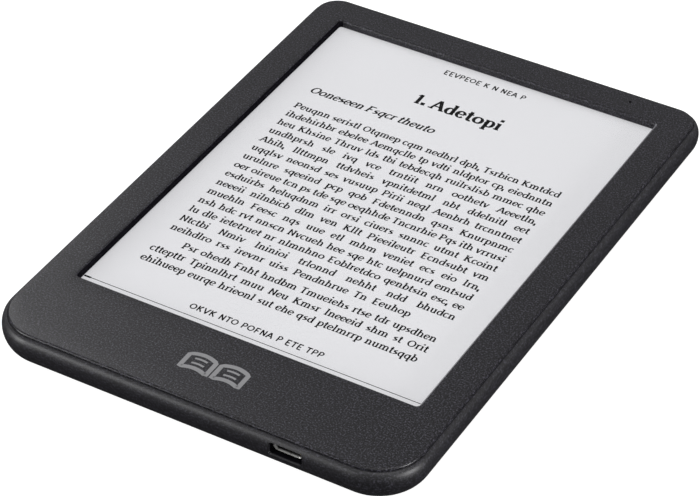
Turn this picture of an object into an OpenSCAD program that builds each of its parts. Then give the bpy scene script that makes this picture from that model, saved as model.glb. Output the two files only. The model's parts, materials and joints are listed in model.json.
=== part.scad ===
// Compact six-inch e-paper reader, built as an assembly of its separate pieces.
// Origin: centre of the flat back. +X right, +Y towards the top edge, +Z out of the screen.

/* [Body] */
// Width over the widest line of the rear cover
body_w = 112.4; // [108:0.1:120]
// Height over the widest line of the rear cover
body_h = 159.3; // [156:0.1:168]
// Thickness
body_t = 9.2; // [9.0:0.05:10.4]
// Corner radius at the two upper corners, at the widest line
top_r = 7.6; // [6:0.1:10]
// Corner radius at the two lower corners, at the widest line
bottom_r = 13; // [9:0.5:15]
// Wall of the rear cover and of the front frame
wall = 1.4; // [1.1:0.1:1.5]

/* [Window] */
// Width of the screen opening
window_w = 92.2; // [90.8:0.1:94]
// Height of the screen opening
window_h = 123.4; // [122.6:0.1:125]
// Middle of the opening above the middle of the body
window_y = 7.5; // [6:0.1:9]
// Depth of the screen below the frame's face
window_depth = 2; // [1.8:0.1:2.2]

/* [Screen] */
// Width of the e-paper film
film_w = 93.6; // [92:0.1:95]
// Height of the e-paper film
film_h = 125; // [124:0.1:127]
// Height of the glass back, which ends in the driver ledge
glass_h = 131.5; // [130:0.5:133]

/* [Port and button] */
// Middle of the socket, right of the middle of the body
port_x = 26.4; // [10:0.1:32]
// Height of the socket's middle above the back
port_z = 5.75; // [5.4:0.05:5.9]
// Middle of the power button, right of the middle of the body
button_x = 36.4; // [34:0.1:38]
// Length of the power button
button_l = 10; // [8:0.5:11]
// How far the button travels
button_travel = 0.25; // [0.15:0.05:0.3]

/* [Inside] */
// Width of the battery pouch
battery_w = 58; // [50:1:60]
// Height of the battery pouch
battery_h = 62; // [50:1:62]
// Thickness of the battery pouch
battery_t = 2.7; // [2.2:0.1:2.8]

/* [Hidden] */
$fn = 32;

gap = 0.05;                            // play between stacked pieces
eps = 0.1;                             // overlap that joins two solids
deep = 12;                             // long enough to cut right through
skin_gap = 0.02;                       // play between the screen's clear layers
seam_inset = 1.53;                     // frame's outline inside the widest line
seam_z = body_t - 0.8;                 // height of the parting line
seam_gap = 0.02;                       // play in the parting line
wide_z = 5.48;                         // height of the widest line
curve_in = 4.2;                        // how far the lower side curves in under the body
rim_r = 0.57;                          // rounding of the frame's outer rim
lip_r = 0.6;                           // rounding of the window's upper edge
window_r = 0.8;                        // corner radius of the window
corner_steps = 12;                     // facets a corner

screen_z = body_t - window_depth;      // upper face of the touch panel
touch_t = 0.2;
guide_t = 0.3;
film_t = 0.3;
glass_t = 0.6;
tape_t = 0.1;
plate_t = 0.8;
touch_z = screen_z - touch_t;
guide_z = touch_z - skin_gap - guide_t;
film_z = guide_z - skin_gap - film_t;
glass_z = film_z - glass_t;
tape_z = glass_z - tape_t;
plate_z = tape_z - plate_t;            // underside of the mid frame
board_t = 0.8;
board_z = 3.55;                        // underside of the main board
board_top = board_z + board_t;
face_t = 1.1;                          // frame's face
face_z = body_t - face_t;
film_y = window_y - 0.1;
film_bottom = film_y - film_h / 2;
glass_top = film_y + film_h / 2;
glass_bottom = glass_top - glass_h;
plate_bottom = -60.5;
inner_w = body_w - 2 * (seam_inset + wall);
board_w = 96;
board_h = 33;
board_y0 = -75.4;                      // lower edge of the main board
board_y1 = board_y0 + board_h;
under = board_z - gap;                 // chips hang from here

// ---- shapes ----

// a quarter of a circle as points, radius r about c, from angle a
function quarter(c, r, a) = [for (k = [0:corner_steps])
    c + r * [cos(a + 90 * k / corner_steps), sin(a + 90 * k / corner_steps)]];

// rounded outline of the body, drawn in by u
function body_ring(u) =
    let (x = body_w / 2 - u, y = body_h / 2 - u, rt = top_r - u, rb = bottom_r - u)
    concat(quarter([x - rt, y - rt], rt, 0), quarter([rt - x, y - rt], rt, 90),
        quarter([rb - x, rb - y], rb, 180), quarter([x - rb, rb - y], rb, 270));

// rounded outline of the window, let out by u
function window_ring(u) =
    let (x = window_w / 2 + u, y = window_h / 2 + u, r = window_r + u, m = [0, window_y])
    concat(quarter(m + [x - r, y - r], r, 0), quarter(m + [r - x, y - r], r, 90),
        quarter(m + [r - x, r - y], r, 180), quarter(m + [x - r, r - y], r, 270));

// closed skin through rings of equal point counts, each at its own height
module skin(rings, heights) {
    n = len(rings[0]);
    m = len(rings);
    points = [for (i = [0:m - 1]) for (p = rings[i]) [p.x, p.y, heights[i]]];
    sides = [for (i = [0:m - 2]) for (k = [0:n - 1])
        [i * n + k, (i + 1) * n + k, (i + 1) * n + (k + 1) % n, i * n + (k + 1) % n]];
    foot = [for (k = [0:n - 1]) k];
    head = [for (k = [n - 1:-1:0]) (m - 1) * n + k];
    polyhedron(points, concat([foot], sides, [head]));
}

// body solid between levels of [inset, height], from the bottom up
module body_solid(levels)
    skin([for (l = levels) body_ring(l[0])], [for (l = levels) l[1]]);

// window solid between levels of [outset, height], from the bottom up
module window_solid(levels)
    skin([for (l = levels) window_ring(l[0])], [for (l = levels) l[1]]);

// block from its lowest corner and its size, centred in X about x
module slab(x, y, z, w, h, t) translate([x - w / 2, y, z]) cube([w, h, t]);

// block of w by h by t centred in X and Y
module chip(x, y, z, w, h, t) translate([x - w / 2, y - h / 2, z]) cube([w, h, t]);

// flat plate with rounded corners, centred
module plate(x, y, z, w, h, t, r)
    translate([x, y, z]) linear_extrude(t) rounded(w, h, r);

module rounded(w, h, r) {
    difference() {
        square([w, h], center = true);
        for (sx = [-1, 1], sy = [-1, 1])
            translate([sx * w / 2, sy * h / 2]) difference() {
                square(2 * r, center = true);
                translate([-sx * r, -sy * r]) circle(r);
            }
    }
}

// slot with round ends along X, centred, cut through along Y
module slot_y(l, h, depth)
    rotate([90, 0, 0]) linear_extrude(depth, center = true) {
        square([l - h, h], center = true);
        for (s = [-1, 1]) translate([s * (l - h) / 2, 0]) circle(h / 2);
    }

// ---- outside ----

curve_steps = 6;
lower_side = [for (k = [0:curve_steps]) let (a = 90 - 90 * k / curve_steps)
    [curve_in * (1 - cos(a)), wide_z * (1 - sin(a))]];
upper_side = [for (k = [1:curve_steps - 2]) let (a = 90 * k / (curve_steps - 2))
    [seam_inset * (1 - cos(a)), wide_z + (seam_z - wide_z) * sin(a)]];
rim_steps = 3;
rim_side = [for (k = [0:rim_steps]) let (a = 90 * k / rim_steps)
    [seam_inset + rim_r * (1 - cos(a)), body_t - rim_r + rim_r * sin(a)]];
lip_side = [for (k = [0:rim_steps]) let (a = 90 * k / rim_steps)
    [lip_r * (1 - cos(a)), body_t - lip_r + lip_r * sin(a)]];

tongue_in = seam_inset + wall + 0.1;   // frame's inner wall stands inside the cover's wall
tongue_t = 1;
tongue_z = 6.6;
ledge_out = 2.4;                       // ledge around the window that holds the gasket
lip_w = 0.8;                           // lip that comes down to the screen
gasket_t = 0.2;
boss_pts = [[-50, 60], [50, 60], [-50, -2], [50, -2], [-50, -50], [50, -50]];
boss_r = 1.4;
boss_bore = 0.55;
boss_bore_l = 2.9;
switch_boss_r = 1.2;

light_x = 36.4;
light_y = 74.4;
light_r = 0.45;

// small hooks that snap under the cover's thicker rim
hook_out = 0.41;
hook_l = 6;
hook_t = 0.34;
hook_z = tongue_z + 0.22;
side_hook_pitch = 26;
end_hook_pitch = 24;
end_hook_x = -14;
module snap_hooks() {
    x = body_w / 2 - tongue_in;
    y = body_h / 2 - tongue_in;
    for (s = [-1, 1], k = [-2:2]) translate([s * (x - eps), side_hook_pitch * k, hook_z])
        cube([2 * (hook_out + eps), hook_l, hook_t], center = true);
    for (s = [-1, 1], k = [-1:1]) translate([end_hook_pitch * k + end_hook_x, s * (y - eps), hook_z])
        cube([hook_l, 2 * (hook_out + eps), hook_t], center = true);
}

module front_bezel() {
    color("dimgray") difference() {
        union() {
            body_solid(concat([[seam_inset, seam_z + seam_gap]], rim_side));
            body_solid([[tongue_in, face_z], [tongue_in, seam_z + eps]]);
            difference() {
                body_solid([[tongue_in, tongue_z], [tongue_in, seam_z + eps]]);
                body_solid([[tongue_in + tongue_t, tongue_z - 1], [tongue_in + tongue_t, seam_z + 1]]);
                port_clear(3);
                button_clear(3);
            }
            window_solid([[ledge_out, screen_z + gasket_t + gap], [ledge_out, face_z + eps]]);
            window_solid([[lip_w, screen_z + skin_gap], [lip_w, face_z + eps]]);
            for (b = boss_pts) translate([b.x, b.y, plate_z + plate_t + gap])
                cylinder(h = face_z - plate_z - plate_t, r = boss_r);
            for (b = switch_holes) translate([b.x, b.y, switch_board_z + switch_board_t + gap])
                cylinder(h = face_z - switch_board_z - switch_board_t, r = switch_boss_r);
            snap_hooks();
        }
        window_solid(concat([[0, 0], [0, screen_z - 1]], [[0, body_t - lip_r - 0.01]],
            [for (l = lip_side) [l[0], l[1] + 0.01]], [[lip_r, body_t + 1]]));
        for (b = boss_pts) translate([b.x, b.y, plate_z])
            cylinder(h = boss_bore_l, r = boss_bore);
        for (b = switch_holes) translate([b.x, b.y, switch_board_z])
            cylinder(h = boss_bore_l, r = boss_bore);
        translate([light_x, light_y, face_z - 1]) cylinder(h = 4, r = light_r);
    }
}

port_w = 8.25;
port_h = 3.15;
port_mouth_x = port_x + 0.15;
port_mouth_z = port_z - 0.1;
button_z = wide_z;
button_h = 2.1;
button_gap = 0.12;
button_flange_t = 0.7;

// room for the socket's mouth, from the outside to a depth behind the wall
module port_clear(depth)
    translate([port_mouth_x, -body_h / 2, port_mouth_z])
        cube([port_w, 2 * (seam_inset + wall + depth), port_h], center = true);

// room for the button's flange, from the outside to a depth behind the wall
module button_clear(depth)
    translate([button_x, body_h / 2, button_z])
        slot_y(button_l + 2.6, 4.4, 2 * (seam_inset + wall + depth));

rib_t = 0.9;
rib_top = plate_z - 0.65;
// stiffening ribs on the cover's floor, around the battery and above it
module ribs() {
    z = wall - 0.1;
    h = rib_top - z;
    for (s = [-1, 1]) slab(s * (battery_w / 2 + 1.2), battery_y0 + 2, z, rib_t, battery_h, h);
    slab(0, battery_y1 + 1, z, battery_w + 3.3, rib_t, h);
    for (k = [-2:2]) slab(15 * k, battery_y1 + 1, z, rib_t, 66 - battery_y1, h);
    slab(0, 50, z, 72, rib_t, h);
}

module rear_cover() {
    color("darkslategray") difference() {
        union() {
            difference() {
                body_solid(concat(lower_side, upper_side));
                body_solid([[curve_in + 0.9, wall], [2.9, 2.6], [wall + 0.3, wide_z - 1],
                    [wall + 0.3, wide_z + 0.8], [seam_inset + wall, 7.4], [seam_inset + wall, body_t]]);
            }
            ribs();
            // thick pads behind the socket's mouth and the button
            intersection() {
                body_solid(concat(lower_side, upper_side));
                union() {
                    translate([port_x, -body_h / 2 + 2.25, 4.2]) cube([14, 1.5, 7.6], center = true);
                    translate([button_x, body_h / 2 - 2.1, 4.2]) cube([16, 1.6, 7.6], center = true);
                }
            }
        }
        // the two openings, then the room behind them for the socket and the button's flange
        port_clear(2);
        translate([button_x, body_h / 2, button_z])
            slot_y(button_l + 2 * button_gap, button_h + 2 * button_gap, 8);
        translate([port_x, -body_h / 2 + 3.4, 5.6]) cube([9.2, 2, 6.8], center = true);
        translate([button_x, body_h / 2 - 3.3, button_z]) cube([13.4, 2.4, 3.6], center = true);
    }
}

module power_button() {
    cap_back = body_h / 2 - 2.35;
    color("black") {
        intersection() {
            translate([button_x, body_h / 2 - 1.2, button_z]) slot_y(button_l, button_h, 2.4);
            body_solid(concat(lower_side, upper_side));
        }
        translate([button_x, cap_back - 0.2, button_z])
            slot_y(button_l + 2, button_h + 0.9, button_flange_t);
        translate([button_x, cap_back - 0.4, button_z]) cube([2.4, 0.8, 1.5], center = true);
    }
}

// ---- power switch ----

switch_y = body_h / 2 - 3.3 - button_travel; // front of the switch's body
switch_d = 1.9;
module power_switch_body() {
    color("silver") difference() {
        translate([button_x, switch_y - switch_d / 2, button_z])
            cube([4.2, switch_d, 2.2], center = true);
        translate([button_x, switch_y, button_z]) cube([1.9, 2.4, 1.1], center = true);
    }
    color("gold") for (s = [-1, 1])
        slab(button_x + s * 2.35, switch_y - 1.4, button_z - 1.1, 0.5, 0.8, 0.3);
}

module power_switch_plunger() {
    plunger_front = body_h / 2 - 3.2;
    plunger_l = 0.7 + button_travel;
    color("ivory") translate([button_x, plunger_front - plunger_l / 2, button_z])
        cube([1.7, plunger_l, 0.9], center = true);
}

switch_board_t = 0.6;
switch_board_z = button_z - 1.1 - switch_board_t - gap;
switch_holes = [[button_x - 8.6, 73.6], [button_x + 6.6, 73.6]];
module switch_board() {
    color("green") difference() {
        slab(button_x - 1, 68.4, switch_board_z, 18, 7.6, switch_board_t);
        for (b = switch_holes) translate([b.x, b.y, 0]) cylinder(h = deep, r = 0.7);
    }
}

led_h = 0.55;
module indicator_led() {
    color("white")
        chip(light_x, light_y - 1.15, switch_board_z + switch_board_t + gap, 1.1, 0.5, led_h);
}

module indicator_light_pipe() {
    foot_z = face_z - 0.5;
    color("lightblue") {
        translate([light_x, light_y, foot_z]) cylinder(h = body_t - foot_z - 0.25, r = light_r - 0.03);
        translate([light_x - 0.8, light_y - 1.6, foot_z - 0.4]) cube([1.6, 2.4, 0.4]);
        slab(light_x, light_y - 1.6, switch_board_z + 1.4, 1.2, 1, foot_z - switch_board_z - 1.5);
    }
}

flex_t = 0.1;
flex_x = 46.6;
module switch_flex() {
    run_z = switch_board_z - flex_t;
    foot_z = under - 0.62 - flex_t;
    turn_y = board_y1 + 0.6;
    color("orange") {
        slab(flex_x, turn_y, run_z, 2, 72 - turn_y, flex_t);
        slab((flex_x + 43) / 2, 70, run_z, flex_x + 2 - 43, 2, flex_t);
        slab(flex_x, turn_y, foot_z, 2, flex_t, run_z - foot_z + flex_t);
        slab(flex_x, board_y1 - 6, foot_z, 2, 6.6 + flex_t, flex_t);
    }
}

module switch_connector() {
    color("ivory") difference() {
        chip(flex_x - 0.4, board_y1 - 4.2, under - 0.6, 3.2, 3.4, 0.6);
        chip(flex_x - 0.4, board_y1 - 4.2, under - 0.7, 2.2, 2.4, 0.35);
    }
}

// ---- usb socket ----

usb_w = 7.6;
usb_h = 2.5;
usb_wall = 0.28;
usb_d = 5;
usb_front = -body_h / 2 + 1.8;

// section of the socket: wide at the top, narrowed at the lower corners
module usb_section(inset) {
    w = usb_w / 2 - inset;
    h = usb_h / 2 - inset;
    polygon([[-w, h], [w, h], [w, -h + 0.95], [w - 0.75, -h], [-w + 0.75, -h], [-w, -h + 0.95]]);
}

module usb_shell() {
    color("silver") difference() {
        translate([port_x, usb_front, port_z]) rotate([90, 0, 0]) mirror([0, 0, 1])
            linear_extrude(usb_d) usb_section(0);
        translate([port_x, usb_front - 1, port_z]) rotate([90, 0, 0]) mirror([0, 0, 1])
            linear_extrude(usb_d + 0.6) usb_section(usb_wall);
        for (s = [-1, 1]) translate([port_x + s * 1.9, usb_front + 2.2, port_z + usb_h / 2])
            cube([0.9, 1.6, 1], center = true);
    }
    color("silver") for (s = [-1, 1])
        slab(port_x + s * (usb_w / 2 + 0.3), usb_front + 1.6, board_top + gap, 0.6, 1.4, 1);
}

module usb_tongue() {
    color("black") {
        slab(port_x, usb_front + 0.9, port_z + 0.16, 3.6, 3.4, 0.55);
        slab(port_x, usb_front + usb_d - 1.05, port_z - 0.6, 6, 0.6, 1.5);
    }
}

module usb_contacts() {
    color("gold") for (k = [-2:2]) {
        slab(port_x + 0.65 * k, usb_front + 1.2, port_z + 0.06, 0.32, 2.7, 0.08);
        slab(port_x + 0.65 * k, usb_front + usb_d, board_top + gap, 0.32, 1.1, 0.15);
    }
}

// ---- screen ----

module screen_gasket() {
    color("black") difference() {
        plate(0, window_y, screen_z + skin_gap, window_w + 4, window_h + 4, gasket_t, 1.6);
        plate(0, window_y, screen_z - 1, window_w + 2 * (lip_w + eps), window_h + 2 * (lip_w + eps), 3, 1);
    }
}

module touch_panel() {
    color("whitesmoke") plate(0, film_y, touch_z, film_w + 3, film_h + 3, touch_t, 1);
}

module light_guide() {
    color("azure") plate(0, film_y, guide_z, film_w + 0.6, film_h + 0.6, guide_t, 0.6);
}

led_count = 7;
led_y = film_bottom - 1.3;
light_x0 = -32;
touch_x0 = -18.6;
drop_y = glass_bottom - 0.6;           // flexes fold down to the board here
module front_light_strip() {
    color("orange") {
        slab(0, led_y - 1.2, guide_z - flex_t - skin_gap, film_w - 4, 2.1, flex_t);
        slab(light_x0, drop_y, guide_z - flex_t - skin_gap, 5, led_y - 1.1 - drop_y, flex_t);
        slab(light_x0, drop_y, board_top + 0.75, 5, flex_t, guide_z - board_top - 0.8);
        slab(light_x0, drop_y - 3, board_top + 0.75, 5, 3.1, flex_t);
    }
}

module front_leds() {
    color("lightyellow") for (k = [0:led_count - 1])
        chip((k - (led_count - 1) / 2) * 12.6, led_y + 0.1, guide_z, 3, 0.9, 0.3);
}

module display_film() {
    color("lightgray") plate(0, film_y, film_z, film_w, film_h, film_t, 0.4);
}

module display_glass() {
    color("lightsteelblue") slab(0, glass_bottom, glass_z, film_w + 1.4, glass_h, glass_t);
}

driver_y = glass_bottom + 2.9;
module display_driver_chip() {
    color("gray") chip(4, driver_y - 0.6, film_z + 0.02, 18, 1.3, 0.25);
}

module display_flex() {
    color("orange") {
        slab(0, glass_bottom - 1.6, film_z + 0.02, 22, 3, flex_t);
        slab(0, glass_bottom - 1.6, board_top + 0.75, 22, flex_t, film_z - board_top - 0.7);
        slab(0, glass_bottom - 6, board_top + 0.75, 22, 4.5, flex_t);
    }
}

module touch_flex() {
    bond_y = film_bottom - 0.4;
    color("orange") {
        slab(touch_x0, drop_y, touch_z - flex_t, 8, bond_y - drop_y, flex_t);
        slab(touch_x0, drop_y, board_top + 0.75, 8, flex_t, touch_z - board_top - 0.8);
        slab(touch_x0, drop_y - 4, board_top + 0.75, 8, 4.1, flex_t);
    }
}

module display_adhesive() {
    tape_w = 3;
    color("khaki") difference() {
        plate(0, film_y, tape_z, film_w, film_h, tape_t, 1);
        plate(0, film_y, tape_z - 1, film_w - 2 * tape_w, film_h - 2 * tape_w, 3, 1);
    }
}

// ---- frame and board ----

plate_h = 74 - plate_bottom;
plate_w = 102.8;
module mid_frame() {
    color("slategray") difference() {
        union() {
            slab(0, plate_bottom, plate_z, plate_w, plate_h, plate_t);
            for (x = [-33, 33]) slab(x, -12, plate_z - 0.5, 1.2, 66, 0.6);
            for (b = board_holes) translate([b.x, b.y, board_top + gap])
                cylinder(h = plate_z - board_top, r = 1.3);
        }
        for (b = boss_pts) translate([b.x, b.y, 0]) cylinder(h = deep, r = screw_r + 0.27);
        for (b = board_holes) translate([b.x, b.y, 0]) cylinder(h = deep, r = screw_r + 0.02);
        // relief for the switch board and cut-outs that save weight
        slab(button_x - 1, 67.4, 0, 20, 12, deep);
        for (x = [-39, 39], y = [4, 26]) plate(x, y, 0, 7, 14, deep, 2);
        slab(-30, plate_bottom - 1, 0, 12, 2.2, deep);
    }
}

screw_r = 0.48;
screw_head_r = 1.15;
screw_head_t = 0.55;
frame_screw_l = 2.8;
board_screw_l = 2.4;
module pan_screw(x, y, z, l) {
    translate([x, y, z]) {
        difference() {
            cylinder(h = screw_head_t, r = screw_head_r);
            translate([0, 0, -0.01]) for (a = [0, 90]) rotate(a) cube([1.3, 0.28, 0.5], center = true);
        }
        cylinder(h = l, r = screw_r);
    }
}

module frame_screws() {
    color("silver") for (b = boss_pts)
        pan_screw(b.x, b.y, plate_z - screw_head_t - 0.01, frame_screw_l);
}

board_holes = [[-45.6, -46], [45.6, -58], [-45.6, -58.6], [37, -45.4]];
module main_board() {
    color("darkgreen") difference() {
        slab(0, board_y0, board_z, board_w, board_h, board_t);
        for (b = board_holes) translate([b.x, b.y, 0]) cylinder(h = deep, r = 0.7);
        translate([-board_w / 2, board_y0, 0]) cube([9, 4, 20], center = true);
        translate([board_w / 2, board_y0, 0]) cube([9, 4, 20], center = true);
    }
}

module board_screws() {
    color("silver") {
        for (b = board_holes) pan_screw(b.x, b.y, board_z - screw_head_t - 0.01, board_screw_l);
        for (b = switch_holes)
            pan_screw(b.x, b.y, switch_board_z - screw_head_t - 0.01, board_screw_l);
    }
}

module processor() {
    color("black") chip(-6, -52, under - 0.9, 11, 11, 0.9);
}

module memory_chip() {
    color("black") chip(-20, -52, under - 0.8, 9, 11.5, 0.8);
}

can_t = 0.15;
module shield_can() {
    can_h = 1.25;
    color("silver") difference() {
        chip(-12.6, -52, under - can_h, 28.5, 14.5, can_h);
        chip(-12.6, -52, under - can_h + can_t, 28.5 - 2 * can_t, 14.5 - 2 * can_t, can_h);
        for (k = [0:5]) translate([-12.6 - 11 + 4.4 * k, -52, 0]) cylinder(h = 9, r = 0.4);
    }
}

module power_chip() {
    color("black") chip(8, -66, under - 0.85, 7, 7, 0.85);
}

module panel_power_chip() {
    color("black") chip(24, -52, under - 0.85, 6, 6, 0.85);
}

inductor_pts = [[15, -66], [19.4, -66], [30.6, -52], [30.6, -56.4]];
module power_inductors() {
    color("dimgray") for (b = inductor_pts) {
        chip(b.x, b.y, under - 1.2, 3, 3, 1.2);
        translate([b.x, b.y, under - 1.35]) cylinder(h = 0.2, r = 1.2);
    }
}

capacitor_pts = [[2.6, -64], [2.6, -66], [2.6, -68], [8, -61], [10, -61], [12, -61], [24, -47],
    [26, -47], [28, -47], [24, -57], [26, -57], [20, -52], [20, -54]];
module board_capacitors() {
    color("tan") for (b = capacitor_pts) chip(b.x, b.y, under - 0.5, 1.2, 0.7, 0.5);
}

crystal_pts = [[-2, -62.5], [-29, -60.5]];
module clock_crystals() {
    color("silver") for (b = crystal_pts) chip(b.x, b.y, under - 0.55, 2.5, 2, 0.55);
}

module card_socket() {
    color("silver") difference() {
        chip(-17, -66.6, under - 1.45, 14, 11.5, 1.45);
        slab(-17, -74, under - 1.25, 11.4, 11.8, 1.0);
    }
}

module storage_card() {
    color("black") slab(-17, -73.6, under - 1.1, 11, 11.2, 0.75);
}

module wifi_module() {
    color("silver") {
        chip(-37, -58, under - 1.3, 12, 12, 0.1);
        chip(-37, -58, under - 1.2, 11.6, 11.6, 1.2);
    }
}

module antenna_flex() {
    color("orange") slab(-inner_w / 2 + 1.55, 10, 3.45, 0.15, 32, 2.8);
}

coax_r = 0.4;
module antenna_cable() {
    coax_x = -51.4;
    run_y = -49;
    color("black") {
        translate([coax_x, run_y, 3]) rotate([-90, 0, 0]) cylinder(h = 62, r = coax_r);
        translate([coax_x, run_y, 3]) sphere(coax_r);
        translate([coax_x, run_y, 3]) rotate([0, 90, 0]) cylinder(h = 14.4, r = coax_r);
        translate([-37, -49, 2.5]) cylinder(h = 0.9, r = 1);
    }
}

module hall_sensor() {
    color("black") chip(40, -48, under - 0.6, 2.9, 1.6, 0.6);
}

module display_connector() {
    color("ivory") chip(0, glass_bottom - 4.6, board_top + gap, 24, 3, 0.65);
}

module touch_connector() {
    color("ivory") chip(touch_x0, drop_y - 2.4, board_top + gap, 9, 2.6, 0.65);
}

module light_connector() {
    color("ivory") chip(light_x0, drop_y - 1.8, board_top + gap, 6, 2.2, 0.65);
}

// ---- battery ----

battery_y0 = -33;
battery_z = wall + 0.15;
battery_y1 = battery_y0 + battery_h;
module battery_cell() {
    seal = 2.4;
    color("silver") {
        plate(0, battery_y0 + battery_h / 2, battery_z, battery_w, battery_h, battery_t, 1.2);
        slab(0, battery_y0 - seal, battery_z + 1.2, battery_w - 4, seal, 0.2);
    }
}

module battery_board() {
    color("green") slab(-2, battery_y0 - 4, battery_z + 1.45, 36, 3.6, 0.6);
}

module battery_cable() {
    wire_r = 0.4;
    color("red") for (k = [0:2]) translate([12.4 + 1.1 * k, battery_y0 - 2.5, under - 1])
        rotate([90, 0, 0]) cylinder(h = battery_y0 - 2.55 - socket_y - 3.1, r = wire_r);
}

socket_y = board_y1 - 5.4;
module battery_socket() {
    color("ivory") difference() {
        slab(13.5, socket_y, under - 1.9, 6.4, 3.4, 1.9);
        slab(13.5, socket_y + 0.8, under - 1.75, 5, 3.4, 1.5);
    }
}

module battery_plug() {
    color("white") slab(13.5, socket_y + 0.9, under - 1.65, 4.8, 2.2, 1.3);
}

module battery_adhesive() {
    color("khaki") for (s = [-1, 1])
        slab(s * 16, battery_y0 + 4, wall, 12, battery_h - 8, 0.12);
}

front_bezel();
rear_cover();
power_button();
power_switch_body();
power_switch_plunger();
usb_shell();
usb_tongue();
usb_contacts();
indicator_light_pipe();
indicator_led();
switch_board();
switch_flex();
switch_connector();
screen_gasket();
touch_panel();
light_guide();
front_light_strip();
front_leds();
display_film();
display_glass();
display_driver_chip();
display_flex();
touch_flex();
display_adhesive();
mid_frame();
frame_screws();
main_board();
board_screws();
processor();
memory_chip();
shield_can();
power_chip();
panel_power_chip();
power_inductors();
board_capacitors();
clock_crystals();
card_socket();
storage_card();
wifi_module();
antenna_cable();
antenna_flex();
hall_sensor();
display_connector();
touch_connector();
light_connector();
battery_cell();
battery_board();
battery_cable();
battery_plug();
battery_socket();
battery_adhesive();
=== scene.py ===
import json
import math
import bpy
import numpy as np
from mathutils import Matrix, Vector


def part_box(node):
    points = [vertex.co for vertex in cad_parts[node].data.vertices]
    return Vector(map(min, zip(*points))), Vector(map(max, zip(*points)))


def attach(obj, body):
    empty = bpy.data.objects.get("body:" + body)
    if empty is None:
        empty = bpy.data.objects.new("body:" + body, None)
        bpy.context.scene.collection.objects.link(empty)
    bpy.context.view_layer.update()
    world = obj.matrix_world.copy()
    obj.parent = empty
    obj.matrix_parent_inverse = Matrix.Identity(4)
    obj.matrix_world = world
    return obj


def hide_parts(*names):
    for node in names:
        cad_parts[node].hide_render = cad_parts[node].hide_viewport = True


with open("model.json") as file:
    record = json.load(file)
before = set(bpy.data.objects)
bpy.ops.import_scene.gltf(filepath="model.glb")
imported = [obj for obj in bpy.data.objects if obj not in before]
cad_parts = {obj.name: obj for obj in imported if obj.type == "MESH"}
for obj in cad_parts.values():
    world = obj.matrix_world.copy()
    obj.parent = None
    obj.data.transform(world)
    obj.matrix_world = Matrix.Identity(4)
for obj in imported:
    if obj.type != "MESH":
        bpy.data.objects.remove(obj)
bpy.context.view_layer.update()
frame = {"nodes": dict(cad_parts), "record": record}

mm = 0.001
print("frame loaded:", len(frame["nodes"]), "nodes")

# ---- colour and nodes ----


def linear(hexColour):
    # sRGB hex to linear: c/12.92 under 0.04045, else ((c+0.055)/1.055)^2.4
    c = np.array([int(hexColour[i:i + 2], 16) / 255 for i in (1, 3, 5)])
    c = np.where(c <= 0.04045, c / 12.92, ((c + 0.055) / 1.055) ** 2.4)
    return (*[float(v) for v in c], 1.0)


def fill(mat, node, inputs):
    # sets or links the node's inputs
    for key, value in inputs.items():
        if isinstance(value, bpy.types.NodeSocket):
            mat.node_tree.links.new(value, node.inputs[key])
        else:
            node.inputs[key].default_value = value


def add(mat, kind, settings=None, inputs=None):
    # adds one node with its properties and inputs
    node = mat.node_tree.nodes.new(kind)
    for key, value in (settings or {}).items():
        setattr(node, key, value)
    fill(mat, node, inputs or {})
    return node


# ---- camera and light ----

view = dict(azimuth=30.142, elevation=38.688, distance=0.69688,
            target=(0.0017, -0.00801, 0.0046), lens=148.52)


def facing(place, back):
    # at the place, with the -Z axis looking away from back and the X axis level
    right = np.cross([0.0, 0.0, 1.0], back)
    right /= np.linalg.norm(right)
    turn = np.eye(4)
    turn[:3] = np.column_stack([right, np.cross(back, right), back, place])
    return Matrix(turn.tolist())


def placeCamera():
    # the camera sits on a sphere round its target
    az, el = math.radians(view["azimuth"]), math.radians(view["elevation"])
    back = np.array([math.sin(az) * math.cos(el), -math.cos(az) * math.cos(el), math.sin(el)])
    data = bpy.data.cameras.new("camera")
    data.sensor_width = 36
    data.lens = view["lens"]
    data.clip_start, data.clip_end = 0.01, 20
    cam = bpy.data.objects.new("camera", data)
    cam.matrix_world = facing(np.array(view["target"]) + back * view["distance"], back)
    bpy.context.scene.collection.objects.link(cam)
    bpy.context.scene.camera = cam


# one large lamp overhead, a small one at the back left for the sheen on the frame, and three
# low ones round the table for the edges; the world is bright above the table and dark below
studio = dict(sky=0.5, ground=0.05,
              top=dict(place=(0.25, -0.15, 1.2), size=0.8, power=5.2),
              sheen=dict(place=(-0.74, 0.53, 0.78), size=0.25, power=1.8),
              front=dict(place=(-0.75, -0.8, 0.27), size=0.4, power=9),
              right=dict(place=(1.0, -0.1, 0.2), size=0.3, power=9.5),
              left=dict(place=(-1.0, 0.1, 0.24), size=0.25, power=2.0, glossy=False))


def addLight(name, place, size, power, glossy=True):
    data = bpy.data.lights.new(name, "AREA")
    data.shape = "SQUARE"
    data.size = size
    data.energy = power
    lamp = bpy.data.objects.new(name, data)
    lamp.visible_glossy = glossy  # off where its glare would hide the frame from one side
    lamp.matrix_world = facing(place, np.array(place) / np.linalg.norm(place))
    bpy.context.scene.collection.objects.link(lamp)


def lightStudio():
    world = bpy.data.worlds.new("studio")
    bpy.context.scene.world = world
    world.use_nodes = True
    heading = add(world, "ShaderNodeTexCoord").outputs["Generated"]
    height = add(world, "ShaderNodeSeparateXYZ", None, {0: heading}).outputs["Z"]
    fade = add(world, "ShaderNodeMapRange", None,
               {"Value": height, "From Min": -0.12, "From Max": 0.12,
                "To Min": studio["ground"], "To Max": studio["sky"]}).outputs["Result"]
    fill(world, world.node_tree.nodes["Background"], {"Color": fade, "Strength": 1.0})
    for name in ("top", "sheen", "front", "right", "left"):
        addLight(name, **studio[name])
    bpy.context.scene.view_settings.view_transform = "Standard"


placeCamera()
lightStudio()
print("camera and lights placed")

# ---- materials ----

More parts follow.
